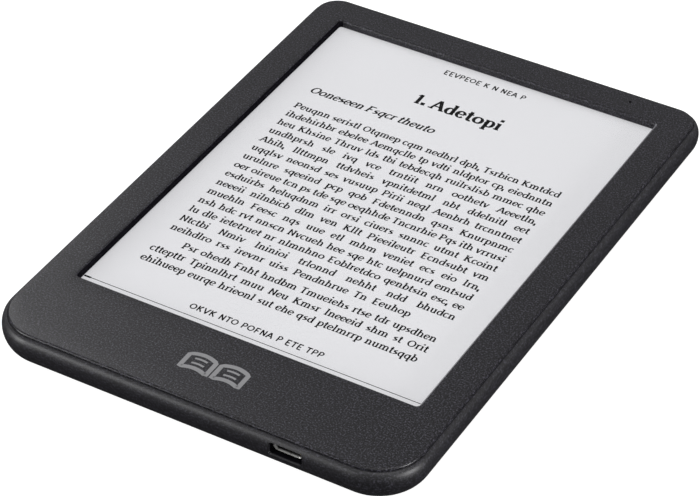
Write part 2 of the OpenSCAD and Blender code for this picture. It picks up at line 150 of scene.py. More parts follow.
# low and high are the two ends of the colour's variation, grain the size of the surface's
# own texture and blotch the size of its slow variation, relief the height of the grain,
# all in mm, and rough the two ends of the roughness; cloud is the slow variation's share,
# centre and spread say where the colour turns, shine is the reflection's strength, and
# cells the size of patches in mm
finishes = {
    # ABS moulded against a spark-eroded tool: charcoal, dull, with an even fine grain
    # (real grain 0.1 mm, drawn at 0.4 so that it shows)
    "frame_plastic": dict(low="#0e0d10", high="#494851", grain=0.4, blotch=9, relief=0.032,
                          rough=(0.27, 0.38), shine=0.3, spread=0.1, cloud=0.03,
                          centre=0.6),
    # the same ABS on the cover, a little softer in its grain
    "cover_plastic": dict(low="#111013", high="#3a3941", grain=0.4, blotch=9, relief=0.02,
                          rough=(0.42, 0.51), shine=0.44, spread=0.1, cloud=0.03,
                          centre=0.6),
    # ABS button, polished by the finger: darker and smoother
    "button_plastic": dict(low="#1f1f21", high="#29292b", grain=0.2, blotch=4, relief=0.004,
                           rough=(0.35, 0.48)),
    # tin-plated steel sheet: bright, faint rolling streaks
    "plated_steel": dict(low="#858584", high="#9f9e9c", grain=0.25, blotch=3, relief=0.002,
                         rough=(0.24, 0.38), metallic=1.0, stretch=(1, 6, 1)),
    # PBT of the switch and plug: ivory, dull
    "switch_plastic": dict(low="#d9d4c3", high="#e7e3d6", grain=0.15, blotch=2, relief=0.003,
                           rough=(0.4, 0.55), ior=1.55),
    # glass-filled black LCP: dead black with faint flow marks
    "black_plastic": dict(low="#0f0f10", high="#1a1a1b", grain=0.15, blotch=3, relief=0.004,
                          rough=(0.45, 0.6), ior=1.55),
    # gold flash over nickel: warm and bright
    "gold_contact": dict(low="#c99a45", high="#e3bd6c", grain=0.1, blotch=1, relief=0.001,
                         rough=(0.18, 0.3), metallic=1.0),
    # moulded polycarbonate: clear
    "clear_plastic": dict(low="#e4eaec", high="#f2f5f6", grain=0.6, blotch=8, relief=0.0005,
                          rough=(0.06, 0.12), ior=1.585, alpha=0.003),
    # silicone lens of a white LED: yellow phosphor under a clear dome
    "led_plastic": dict(low="#e6d98a", high="#f3ecb8", grain=0.1, blotch=0.8, relief=0.002,
                        rough=(0.25, 0.35), ior=1.45),
    # FR4 with green solder mask: copper pours show as lighter fields
    "circuit_board": dict(low="#0e3d22", high="#1c5c36", grain=0.3, blotch=4, relief=0.004,
                          rough=(0.3, 0.45), cells=2.2),
    # polyimide flex with copper under it: amber, glossy
    "flex_film": dict(low="#9a5a1c", high="#c07a2e", grain=0.4, blotch=3, relief=0.001,
                      rough=(0.2, 0.32), ior=1.7, cells=0.5),
    # nylon connector: cream, dull
    "connector_plastic": dict(low="#cdc6ae", high="#ddd8c6", grain=0.15, blotch=2, relief=0.003,
                              rough=(0.42, 0.55), ior=1.53),
    # closed-cell foam: black, pitted
    "foam": dict(low="#111111", high="#1d1d1d", grain=0.25, blotch=2, relief=0.03,
                 rough=(0.85, 0.95), ior=1.4, cells=0.25),
    # anti-glare hard coat on PET: clear, with the faintest milky veil
    "screen_film": dict(low="#dcdcde", high="#e4e4e6", grain=0.3, blotch=20, relief=0.0015,
                        rough=(0.42, 0.5), alpha=0.003),
    # e-paper microcapsules: an even light grey, lit mostly by the front light
    "page_film": dict(low="#8d8d8f", high="#909092", grain=0.3, blotch=30, relief=0.0,
                      rough=(0.75, 0.85), ior=1.45, glow=1.61, shine=0.1),
    # float glass with the transistor layer: grey-green
    "panel_glass": dict(low="#6f7c78", high="#82908c", grain=1.5, blotch=12, relief=0.0003,
                        rough=(0.05, 0.1), ior=1.52, alpha=0.75),
    # epoxy mould compound: black, slightly gritty
    "chip_black": dict(low="#161617", high="#222224", grain=0.12, blotch=1.5, relief=0.004,
                       rough=(0.5, 0.62), ior=1.55),
    # acrylic tape on its liner: amber haze
    "tape": dict(low="#b7a377", high="#cdbb92", grain=0.6, blotch=5, relief=0.003,
                 rough=(0.3, 0.5), ior=1.47),
    # die-cast magnesium, chromated: grey with flow lines
    "frame_alloy": dict(low="#7d7d7a", high="#96958f", grain=0.5, blotch=10, relief=0.008,
                        rough=(0.38, 0.55), metallic=1.0),
    # zinc-plated screws: bluish grey
    "screw_steel": dict(low="#8f9295", high="#abaeb1", grain=0.12, blotch=0.8, relief=0.002,
                        rough=(0.25, 0.4), metallic=1.0),
    # sintered ferrite: dark grey, chalky
    "ferrite": dict(low="#2f2f33", high="#45454a", grain=0.15, blotch=1, relief=0.006,
                    rough=(0.55, 0.7), ior=1.8),
    # fired ceramic capacitor: tan with tinned ends
    "capacitor_ceramic": dict(low="#8c6a45", high="#a88560", grain=0.1, blotch=0.7,
                              relief=0.003, rough=(0.35, 0.5), ior=1.6),
    # PVC jacket: black, satin
    "cable_jacket": dict(low="#141415", high="#202022", grain=0.15, blotch=2, relief=0.003,
                         rough=(0.4, 0.5), ior=1.53),
    # aluminium-nylon laminate of the pouch: silver, softly crinkled
    "pouch_foil": dict(low="#b4b5b7", high="#cdced0", grain=2.4, blotch=9, relief=0.05,
                       rough=(0.25, 0.4), metallic=1.0),
}


def makeFinish(slot, low, high, grain, blotch, relief, rough, ior=1.5, metallic=0.0, alpha=1.0,
               stretch=(1, 1, 1), cells=0.0, shine=0.5, spread=0.2, cloud=0.4, glow=0.0,
               centre=0.5):
    mat = bpy.data.materials.new(slot)
    mat.use_nodes = True

    def calc(operation, *values):
        node = add(mat, "ShaderNodeMath", {"operation": operation}, dict(enumerate(values)))
        return node.outputs[0]

    place = add(mat, "ShaderNodeTexCoord").outputs["Object"]
    lie = add(mat, "ShaderNodeMapping", None, {"Vector": place, "Scale": stretch}).outputs[0]
    fine = add(mat, "ShaderNodeTexNoise", None,
               {"Vector": lie, "Scale": 1 / (grain * mm), "Detail": 3.0, "Roughness": 0.6})
    slow = add(mat, "ShaderNodeTexNoise", None,
               {"Vector": lie, "Scale": 1 / (blotch * mm), "Detail": 2.0})
    both = calc("MULTIPLY_ADD", fine.outputs["Fac"], 1 - cloud, 0.0)
    mixed = calc("MULTIPLY_ADD", slow.outputs["Fac"], cloud, both)
    if cells:
        cell = add(mat, "ShaderNodeTexVoronoi", {"feature": "F1"},
                   {"Vector": lie, "Scale": 1 / (cells * mm)})
        patches = calc("GREATER_THAN", cell.outputs["Distance"], 0.45)
        mixed = calc("MULTIPLY_ADD", patches, 0.25, mixed)
    tint = add(mat, "ShaderNodeValToRGB", None, {"Fac": mixed})
    tint.color_ramp.elements[0].position = centre - spread
    tint.color_ramp.elements[1].position = centre + spread
    tint.color_ramp.elements[0].color = linear(low)
    tint.color_ramp.elements[1].color = linear(high)
    dull = add(mat, "ShaderNodeMapRange", None,
               {"Value": fine.outputs["Fac"], "From Min": 0.3, "From Max": 0.7,
                "To Min": rough[0], "To Max": rough[1]})
    surface = {"Base Color": tint.outputs["Color"], "Roughness": dull.outputs["Result"],
               "Metallic": metallic, "Alpha": alpha}
    if not metallic:
        surface.update({"IOR": ior, "Specular IOR Level": shine})
    if glow:
        surface.update({"Emission Color": tint.outputs["Color"], "Emission Strength": glow})
    if relief:
        bump = add(mat, "ShaderNodeBump", None,
                   {"Height": fine.outputs["Fac"], "Distance": relief * mm, "Strength": 1.0})
        surface["Normal"] = bump.outputs["Normal"]
    fill(mat, mat.node_tree.nodes["Principled BSDF"], surface)
    return mat


materials = {slot: makeFinish(slot, **spec) for slot, spec in finishes.items()}

for sub in frame["record"]["subparts"]:
    slots = frame["nodes"][sub["node"]].data.materials
    slots.clear()
    slots.append(materials[sub["material_slot"]])
print("materials made:", len(materials))

# painted shade: the same ABS drawn near black and quite dull, for deep walls that get little light
paintedShadeWall = makeFinish("frame_wall_painted_shade", low="#0a090c", high="#121115", grain=0.5, blotch=9,
                        relief=0.01, rough=(0.8, 0.9), shine=0.0, spread=0.14, cloud=0.06)
# painted highlight: the same ABS drawn paler and glossier, for the window's right rounding where it
# catches the light
paintedHighlightLip = makeFinish("frame_lip_painted_highlight", low="#5b5a5e", high="#6b6a6f", grain=0.5, blotch=9,
                       relief=0.001, rough=(0.2, 0.26), shine=0.8, spread=0.3, cloud=0.06)

# ---- mesh helpers ----


def gridFaces(rows, columns, closeRows=False, closeColumns=True):
    # quads between neighbours of a grid of rows x columns, wrapping where asked
    r = np.arange(rows if closeRows else rows - 1)
    c = np.arange(columns if closeColumns else columns - 1)
    r0, c0 = [a.ravel() for a in np.meshgrid(r, c, indexing="ij")]
    r1, c1 = (r0 + 1) % rows, (c0 + 1) % columns
    return np.stack([r0 * columns + c0, r0 * columns + c1, r1 * columns + c1, r1 * columns + c0], 1)


def gridFan(rows, columns):
    # a tube of rows x columns, with one extra vertex at each end to close it
    quads = gridFaces(rows, columns)
    c = np.arange(columns)
    n = (c + 1) % columns
    first, last = rows * columns, rows * columns + 1
    foot = np.stack([np.full(columns, first), n, c], 1)
    head = np.stack([np.full(columns, last), (rows - 1) * columns + c, (rows - 1) * columns + n], 1)
    return quads.tolist() + foot.tolist() + head.tolist()


def makeMesh(name, points, faces, slot, sharp=32):
    mesh = bpy.data.meshes.new(name)
    mesh.from_pydata(np.asarray(points, float).reshape(-1, 3).tolist(), [],
                     faces if isinstance(faces, list) else faces.tolist())
    mesh.validate()
    piece = bpy.data.objects.new(name, mesh)
    bpy.context.scene.collection.objects.link(piece)
    if slot:
        mesh.materials.append(materials[slot])
    smoothen(piece, sharp)
    return piece


def smoothen(piece, sharp=32):
    # smooth faces, with edges sharper than the angle kept crisp
    mesh = piece.data
    mesh.polygons.foreach_set("use_smooth", np.ones(len(mesh.polygons), bool))
    mesh.set_sharp_from_angle(angle=math.radians(sharp))
    mesh.update()


def carve(piece, cutters, sharp=32):
    # takes each closed cutter out of the piece, then drops the cutters
    for cutter in cutters:
        cut = piece.modifiers.new("cut", "BOOLEAN")
        cut.operation, cut.solver, cut.object = "DIFFERENCE", "EXACT", cutter
    graph = bpy.context.evaluated_depsgraph_get()
    mesh = bpy.data.meshes.new_from_object(piece.evaluated_get(graph))
    piece.modifiers.clear()
    piece.data = mesh
    for cutter in cutters:
        bpy.data.objects.remove(cutter)
    smoothen(piece, sharp)


def arc(start, end, steps):
    return np.radians(np.linspace(start, end, steps + 1))


# ---- the two shells ----

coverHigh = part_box("rear_cover")[1]
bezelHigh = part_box("front_bezel")[1]

body = dict(halfWidth=coverHigh[0], halfHeight=coverHigh[1], thick=bezelHigh[2],
            topRadius=7.6 * mm, bottomRadius=13 * mm,
            cornerSteps=28, longSteps=72, shortSteps=52)
window = dict(halfWidth=46.1 * mm, halfHeight=61.7 * mm, middle=7.5 * mm, radius=0.8 * mm)


def roundedRing(halfWidth, halfHeight, middle, topRadius, bottomRadius):
    # four quarter circles joined by straight runs, walked counter-clockwise from the right
    corners = [(1, 1, topRadius, 0), (-1, 1, topRadius, 90),
               (-1, -1, bottomRadius, 180), (1, -1, bottomRadius, 270)]
    runs = []
    for sx, sy, r, start in corners:
        t = arc(start, start + 90, body["cornerSteps"])
        runs.append(np.stack([sx * (halfWidth - r) + r * np.cos(t),
                              middle + sy * (halfHeight - r) + r * np.sin(t)], 1))
    ring = []
    for k in range(4):
        steps = body["shortSteps"] if k % 2 == 0 else body["longSteps"]
        t = np.linspace(0, 1, steps + 1)[1:-1, None]
        ring += [runs[k], runs[k][-1] * (1 - t) + runs[(k + 1) % 4][0] * t]
    return np.concatenate(ring)


def bodyRing(inset):
    return roundedRing(body["halfWidth"] - inset, body["halfHeight"] - inset, 0,
                       body["topRadius"] - inset, body["bottomRadius"] - inset)


def windowRing(outset):
    return roundedRing(window["halfWidth"] + outset, window["halfHeight"] + outset,
                       window["middle"], window["radius"] + outset, window["radius"] + outset)


def stackRings(levels):
    # one ring per level, each at its own height
    return np.stack([np.column_stack([ring, np.full(len(ring), z)]) for ring, z in levels])


# the last two entries bound, as shares of the window's half width, the painted shade on its left
# wall and the painted highlight on its right rounding
bezel = dict(inset=1.53 * mm, seam=8.42 * mm, rim=0.57 * mm, foot=0.14 * mm, lip=0.6 * mm,
             screen=7.22 * mm, ledge=7.45 * mm, face=8.1 * mm, lipWidth=0.8 * mm,
             ledgeWidth=2.4 * mm, tongueIn=3.03 * mm, tongueWidth=1.0 * mm, tongueFoot=6.6 * mm,
             faceSteps=5,
             bossPlaces=[(x * mm, y * mm) for x in (-50, 50) for y in (60, -2, -50)],
             bossRadius=1.4 * mm, bossBore=0.55 * mm, bossFoot=5.71 * mm,
             switchBosses=[(27.8 * mm, 73.6 * mm), (43.0 * mm, 73.6 * mm)], switchRadius=1.2 * mm,
             switchFoot=4.38 * mm,
             lightPlace=(36.4 * mm, 74.4 * mm), lightRadius=0.4 * mm,
             buttonRoom=1.2 * mm, print=0.012 * mm, darkLeftOf=-0.98, highlightRightOf=1.008)

# small hooks under the frame's tongue snap below the cover's thicker rim
hooks = dict(out=0.41 * mm, embed=0.1 * mm, length=6 * mm, thick=0.34 * mm, height=6.82 * mm,
             sidePitch=26 * mm, endPitch=24 * mm, endShift=-14 * mm)


def tube(x, y, low, high, outer, inner, steps=28):
    # a pipe on a vertical axis: a rectangular profile turned round it
    t = np.linspace(0, 2 * np.pi, steps, endpoint=False)
    radii = np.array([outer, outer, inner, inner])
    heights = np.array([low, high, high, low])
    points = np.stack([x + radii[:, None] * np.cos(t), y + radii[:, None] * np.sin(t),
                       heights[:, None] + 0 * t], -1)
    return points.reshape(-1, 3), gridFaces(4, steps, closeRows=True)[:, ::-1]


def cylinder(name, place, radius, low, high, steps=40):
    t = np.linspace(0, 2 * np.pi, steps, endpoint=False)
    ring = np.stack([place[0] + radius * np.cos(t), place[1] + radius * np.sin(t)], 1)
    points = np.concatenate([stackRings([(ring, low), (ring, high)]).reshape(-1, 3),
                             [[*place, low], [*place, high]]])
    return makeMesh(name, points, gridFan(2, steps), None)


def bezelTop():
    # the print on the face takes the last hundredth of a millimetre
    return body["thick"] - bezel["print"]


def buildBezel():
    b = bezel
    top = bezelTop()
    # outer rim, from the seam up: a small rounding, the side, then the big rounding
    levels = [(bodyRing(b["inset"] + b["foot"] * (1 - math.sin(t))),
               b["seam"] + b["foot"] * (1 - math.cos(t))) for t in arc(0, 90, 4)]
    levels += [(bodyRing(b["inset"] + b["rim"] * (1 - math.cos(t))),
                top - b["rim"] + b["rim"] * math.sin(t)) for t in arc(0, 90, 10)]
    # the flat face runs straight from the outer ring to the window's
    outer, inner = levels[-1][0], windowRing(b["lip"])
    steps = b["faceSteps"]
    levels += [(outer * (1 - k / steps) + inner * (k / steps), top) for k in range(1, steps)]
    lipRow = len(levels)
    levels += [(windowRing(b["lip"] * (1 - math.sin(t))), top - b["lip"] * (1 - math.cos(t)))
               for t in arc(0, 90, 10)]
    # wall of the window, lip, gasket ledge, face's underside and the tongue
    lip, ledge = windowRing(b["lipWidth"]), windowRing(b["ledgeWidth"])
    tongueIn, tongue = bodyRing(b["tongueIn"] + b["tongueWidth"]), bodyRing(b["tongueIn"])
    levels += [(windowRing(0), b["screen"]), (lip, b["screen"]), (lip, b["ledge"]),
               (ledge, b["ledge"]), (ledge, b["face"]), (tongueIn, b["face"]),
               (tongueIn, b["tongueFoot"]), (tongue, b["tongueFoot"]), (tongue, b["seam"])]
    points = stackRings(levels)
    faces = gridFaces(len(levels), points.shape[1], closeRows=True)
    piece = makeMesh("front_bezel_shell", points, faces, "frame_plastic")
    # painted shade on the window's left wall, up to the middle of its rounding (drawn near black),
    # and painted highlight on the rounding on its right (drawn paler and glossier)
    piece.data.materials.append(paintedShadeWall)
    piece.data.materials.append(paintedHighlightLip)
    down = np.repeat(np.arange(len(levels)), points.shape[1]) - lipRow
    across = np.tile(points[lipRow, :, 0], len(levels)) / window["halfWidth"]
    dark = (down >= 5) & (down <= 10) & (across < b["darkLeftOf"])
    paintedHighlight = (down >= 1) & (down <= 9) & (across > b["highlightRightOf"])
    piece.data.polygons.foreach_set("material_index", (dark + 2 * paintedHighlight).astype(np.int32))
    holeLow, holeHigh = b["face"] - 0.5 * mm, top + 1 * mm
    carve(piece, [cylinder("lightHole", b["lightPlace"], b["lightRadius"], holeLow, holeHigh),
                  portBlock("tonguePort", 0.0), buttonBlock("tongueButton", b["buttonRoom"])])
    head = b["face"] + 0.05 * mm  # sunk a little into the frame's face
    bosses = [tube(*place, b["bossFoot"], head, b["bossRadius"], b["bossBore"])
              for place in b["bossPlaces"]]
    bosses += [tube(*place, b["switchFoot"], head, b["switchRadius"], b["bossBore"])
               for place in b["switchBosses"]]
    joinSolids(piece, bosses + snapHooks())
    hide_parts("front_bezel")
    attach(piece, "housing")


def snapHooks():
    h = hooks
    x = body["halfWidth"] - bezel["tongueIn"] - h["embed"]
    y = body["halfHeight"] - bezel["tongueIn"] - h["embed"]
    reach = 2 * (h["out"] + h["embed"])
    sides = [boxSolid((s * x, k * h["sidePitch"], h["height"]), (reach, h["length"], h["thick"]))
             for s in (-1, 1) for k in range(-2, 3)]
    ends = [boxSolid((k * h["endPitch"] + h["endShift"], s * y, h["height"]),
                     (h["length"], reach, h["thick"])) for s in (-1, 1) for k in (-1, 0, 1)]
    return sides + ends


def boxSolid(middle, size):
    # eight corners about the middle, and six faces that point outwards
    corner = np.array([(x, y, z) for z in (-0.5, 0.5) for y in (-0.5, 0.5) for x in (-0.5, 0.5)])
    faces = np.array([[0, 2, 3, 1], [4, 5, 7, 6], [0, 1, 5, 4], [2, 6, 7, 3],
                      [0, 4, 6, 2], [1, 3, 7, 5]])
    return np.asarray(middle, float) + corner * np.asarray(size, float), faces


def boxMesh(name, middle, size):
    points, faces = boxSolid(middle, size)
    return makeMesh(name, points, faces, None)


def merge(solids):
    count, points, faces = 0, [], []
    for p, f in solids:
        points.append(p)
        faces.append(f + count)
        count += len(p)
    return np.concatenate(points), np.concatenate(faces)


def joinSolids(piece, solids):
    # adds loose closed solids to the piece's own mesh, and keeps the finish of its faces
    mesh = piece.data
    old = np.zeros(len(mesh.vertices) * 3)
    mesh.vertices.foreach_get("co", old)
    finish = np.zeros(len(mesh.polygons), np.int32)
    mesh.polygons.foreach_get("material_index", finish)
    points, faces = merge(solids)
    points = np.concatenate([old.reshape(-1, 3), points])
    faces = [list(p.vertices) for p in mesh.polygons] + (faces + len(mesh.vertices)).tolist()
    fresh = bpy.data.meshes.new(mesh.name)
    fresh.from_pydata(points.tolist(), [], faces)
    for material in mesh.materials:
        fresh.materials.append(material)
    finish = np.concatenate([finish, np.zeros(len(faces) - len(finish), np.int32)])
    fresh.polygons.foreach_set("material_index", finish)
    piece.data = fresh
    smoothen(piece)


port = dict(x=26.4 * mm, z=5.75 * mm, mouthX=26.55 * mm, mouthZ=5.65 * mm, width=8.25 * mm,
            height=3.15 * mm, corner=0.45 * mm, flare=0.6, flareAt=-79.12 * mm,
            flareLength=1.1 * mm, end=-74.7 * mm)
button = dict(x=36.4 * mm, z=5.48 * mm, length=10 * mm, height=2.1 * mm, gap=0.12 * mm,
              end=74 * mm, flareAt=79.32 * mm, flareLength=1 * mm)
tiny = 1e-6  # keeps the half circles of a stadium from meeting in one point


def roundedSection(width, height, corner, steps=8):
    # rounded rectangle in X and Z
    w, h = width / 2 - corner, height / 2 - corner
    places = [(w, h, 0), (-w, h, 90), (-w, -h, 180), (w, -h, 270)]
    return np.concatenate([np.stack([x + corner * np.cos(arc(a, a + 90, steps)),
                                     z + corner * np.sin(arc(a, a + 90, steps))], 1)
                           for x, z, a in places])


def loftY(sections, places, centre):
    # sections in X and Z, one at each place along Y, walked so that faces point outwards
    points = np.stack([np.stack([centre[0] + s[::-1, 0], np.full(len(s), y),
                                 centre[1] + s[::-1, 1]], 1) for s, y in zip(sections, places)])
    ends = np.stack([[centre[0], places[0], centre[1]], [centre[0], places[-1], centre[1]]])
    return np.concatenate([points.reshape(-1, 3), ends]), gridFan(len(sections), points.shape[1])


def cutBlock(name, width, height, corner, grows, places, centre, steps=8):
    # a closed cutter along Y whose section is wider by each entry of grows
    sections = [roundedSection(width + 2 * g, height + 2 * g, corner + g, steps) for g in grows]
    return makeMesh(name, *loftY(sections, places, centre), None)


def portBlock(name, flare=port["flare"]):
    p = port
    return cutBlock(name, p["width"], p["height"], p["corner"], (p["flareLength"] * flare, 0, 0),
                    [p["flareAt"] - p["flareLength"], p["flareAt"], p["end"]],
                    (p["mouthX"], p["mouthZ"]))


def buttonBlock(name, room):
    # the opening widens outwards at 45 degrees; the plain room behind it doesn't
    b = button
    length, height = b["length"] + 2 * (b["gap"] + room), b["height"] + 2 * (b["gap"] + room)
    grow = 0 if room else b["flareLength"]
    return cutBlock(name, length, height, height / 2 - tiny, (0, 0, grow),
                    [b["end"], b["flareAt"], b["flareAt"] + b["flareLength"]],
                    (b["x"], b["z"]), 12)


# inside lists the hollow's levels from the rim down, as inset and height in mm
cover = dict(inset=1.53 * mm, seam=8.4 * mm, wide=5.48 * mm, curveIn=4.2 * mm, rim=0.14 * mm,
             wall=1.4 * mm, inside=[(2.93, 8.4), (2.93, 7.4), (1.7, 6.28), (1.7, 4.48),
                                    (2.9, 2.6), (5.1, 1.4)])

# ribs on the floor beside and above the battery, as x, y, width and height in mm, and the
# pads behind the two openings, as width and the two ends along Y
ribs = dict(low=1.3 * mm, high=4.21 * mm, thick=0.9 * mm, padHeight=6.3 * mm, padMiddle=4.75 * mm,
            padCorner=0.3 * mm, portPad=(14 * mm, -77.9 * mm, -77.25 * mm),
            buttonPad=(16 * mm, 77.55 * mm, 78.1 * mm),
            runs=[(-30.2, 0, 0, 62), (30.2, 0, 0, 62), (0, 30.45, 61.3, 0), (0, 50.45, 72, 0)]
            + [(15 * k, 48.5, 0, 37) for k in (-2, -1, 0, 1, 2)])


def ribSolids():
    r = ribs
    middle, tall = (r["low"] + r["high"]) / 2, r["high"] - r["low"]
    return [boxSolid((x * mm, y * mm, middle),
                     (max(w * mm, r["thick"]), max(h * mm, r["thick"]), tall))
            for x, y, w, h in r["runs"]]


def padSolid(x, width, front, back, hole, holeAt):
    # a slab across the wall with the opening through it: two outer rings, then two inner ones
    rim = roundedSection(width, ribs["padHeight"], ribs["padCorner"]) + [x, ribs["padMiddle"]]
    rings = [(rim, front), (rim, back), (hole + holeAt, back), (hole + holeAt, front)]
    points = np.stack([np.column_stack([ring[:, 0], np.full(len(ring), y), ring[:, 1]])
                       for ring, y in rings])
    return points.reshape(-1, 3), gridFaces(4, len(rim), closeRows=True)


def openingPads():
    p, b, r = port, button, ribs
    slot = roundedSection(b["length"] + 2 * b["gap"], b["height"] + 2 * b["gap"],
                          b["height"] / 2 + b["gap"] - tiny)
    mouth = roundedSection(p["width"], p["height"], p["corner"])
    return [padSolid(p["x"], *r["portPad"], mouth, [p["mouthX"], p["mouthZ"]]),
            padSolid(b["x"], *r["buttonPad"], slot, [b["x"], b["z"]])]


def buildCover():
    c = cover
    # flat back from its middle out, then the lower curve, the bulge and the rim
    levels = [(bodyRing(c["curveIn"]) * s, 0.0) for s in (0.2, 0.4, 0.6, 0.8, 0.94)]
    levels += [(bodyRing(c["curveIn"] * (1 - math.cos(t))), c["wide"] * (1 - math.sin(t)))
               for t in arc(90, 0, 22)]
    rise = c["seam"] - c["wide"]
    levels += [(bodyRing(c["inset"] * (1 - math.cos(t))), c["wide"] + rise * math.sin(t))
               for t in arc(0, 90, 16)[1:-1]]
    levels += [(bodyRing(c["inset"] - c["rim"] * 0.2 + c["rim"] * 1.6 * (1 - math.cos(t))),
                c["seam"] - c["rim"] * (1 - math.sin(t))) for t in arc(30, 90, 3)]
    levels += [(bodyRing(inset * mm), z * mm) for inset, z in c["inside"]]
    floorRing = levels[-1][0]
    levels += [(floorRing * s, c["wall"]) for s in (0.8, 0.5, 0.2)]
    points = np.concatenate([stackRings(levels).reshape(-1, 3),
                             [[0, 0, 0], [0, 0, c["wall"]]]])
    faces = gridFan(len(levels), len(floorRing))
    piece = makeMesh("rear_cover_shell", points, faces, "cover_plastic")
    carve(piece, [portBlock("portCut"), buttonBlock("buttonCut", 0.0)])
    # the cut through the wall behind the port's flare gets the painted shade as well: drawn near
    # black
    piece.data.materials.append(paintedShadeWall)
    centre = np.zeros(len(piece.data.polygons) * 3)
    piece.data.polygons.foreach_get("center", centre)
    x, y, z = (centre.reshape(-1, 3) - [port["mouthX"], 0, port["mouthZ"]]).T
    near = 0.01 * mm
    deep = (abs(x) < port["width"] / 2 + near) & (abs(z) < port["height"] / 2 + near)
    deep &= y < -77 * mm
    piece.data.polygons.foreach_set("material_index", deep.astype(np.int32))
    joinSolids(piece, ribSolids() + openingPads())
    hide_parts("rear_cover")
    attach(piece, "housing")


buildBezel()
buildCover()
print("shells built")

# ---- socket and button ----


def roundedPolygon(corners, radii, steps=6):
    # each corner becomes an arc tangent to its two edges: the centre lies on the bisector,
    # radius / sin(half angle) from the corner
    corners = np.asarray(corners, float)
    before, after = np.roll(corners, 1, 0), np.roll(corners, -1, 0)
    a = (before - corners) / np.linalg.norm(before - corners, axis=1)[:, None]
    b = (after - corners) / np.linalg.norm(after - corners, axis=1)[:, None]
    half = np.arccos(np.clip((a * b).sum(1), -1, 1)) / 2
    middle = (a + b) / np.linalg.norm(a + b, axis=1)[:, None]
    radii = np.asarray(radii, float)
    centres = corners + middle * (radii / np.sin(half))[:, None]
    start = corners + a * (radii / np.tan(half))[:, None] - centres
    end = corners + b * (radii / np.tan(half))[:, None] - centres
    t = np.linspace(0, 1, steps)[None, :, None]
    spread = start[:, None] * (1 - t) + end[:, None] * t
    spread *= radii[:, None, None] / np.linalg.norm(spread, axis=2)[:, :, None]
    return (centres[:, None] + spread).reshape(-1, 2)


socket = dict(width=7.6 * mm, height=2.5 * mm, wall=0.28 * mm, depth=5 * mm, front=-77.85 * mm,
              shoulder=0.95 * mm, foot=0.75 * mm, flare=0.22 * mm, flareLength=0.5 * mm,
              seamX=0.55 * mm, seamSize=(0.14 * mm, 6 * mm, 0.8 * mm), seamBack=2 * mm,
              latchX=1.9 * mm, latchBack=2.2 * mm, latchSize=(0.9 * mm, 1.6 * mm, 1 * mm),
              legX=4.1 * mm, legBack=2.3 * mm, legSize=(0.5 * mm, 1.4 * mm, 1 * mm))


def socketSection(inset):
    # wide at the top, drawn in at the lower corners
    k = socket
    w, h = k["width"] / 2 - inset, k["height"] / 2 - inset
    dy, dx = k["shoulder"] - inset * 0.4, k["foot"] - inset * 0.4
    corners = [(w, h), (-w, h), (-w, -h + dy), (-w + dx, -h), (w - dx, -h), (w, -h + dy)]
    radii = np.array([0.5, 0.5, 0.45, 0.45, 0.45, 0.45]) * mm - inset * 0.6
    return roundedPolygon(corners, radii)


def buildSocket():
    # the sheet's own section (front lip, outside, back, inside) carried round the outline
    k = socket
    # the funnel: both faces turn outwards over the first half millimetre along a sine
    t = np.linspace(0, 1, 7)
    funnel = k["flare"] * (1 - np.sin(t * np.pi / 2))
    levels = [(-f, k["flareLength"] * s) for f, s in zip(funnel, t)]
    levels += [(0.0, k["depth"]), (k["wall"], k["depth"])]
    levels += [(k["wall"] * (0.4 + 0.6 * s) - f, k["flareLength"] * s - 0.03 * mm * (1 - s))
               for f, s in zip(funnel[::-1], t[::-1])]
    rows = []
    for inset, back in levels:
        ring = socketSection(inset)
        rows.append(np.column_stack([port["x"] + ring[:, 0], np.full(len(ring), k["front"] + back),
                                     port["z"] + ring[:, 1]]))
    points = np.stack(rows)
    faces = gridFaces(len(rows), points.shape[1], closeRows=True)
    piece = makeMesh("usb_shell_formed", points, faces, "plated_steel", 40)
    seam = boxMesh("seam", (port["x"] + k["seamX"], k["front"] + k["seamBack"],
                            port["z"] - k["height"] / 2), k["seamSize"])
    latches = [boxMesh("latch", (port["x"] + side * k["latchX"], k["front"] + k["latchBack"],
                                 port["z"] + k["height"] / 2), k["latchSize"])
               for side in (-1, 1)]
    carve(piece, [seam, *latches], 40)
    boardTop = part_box("usb_shell")[0][2]
    legs = [boxSolid((port["x"] + side * k["legX"], k["front"] + k["legBack"],
                      boardTop + k["legSize"][2] / 2), k["legSize"]) for side in (-1, 1)]
    joinSolids(piece, legs)
    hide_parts("usb_shell")
    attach(piece, "housing")


buttonCap = dict(flange=12 * mm, flangeHeight=3.0 * mm, flangeBack=76.75 * mm,
                 flangeFront=77.45 * mm, edge=0.28 * mm, crown=0.06 * mm, top=79.62 * mm,
                 boss=(2.4 * mm, 0.4 * mm, 1.5 * mm), bossSunk=0.05 * mm,
                 backBevel=0.3 * mm, frontBevel=0.24 * mm, bevelLength=0.12 * mm)


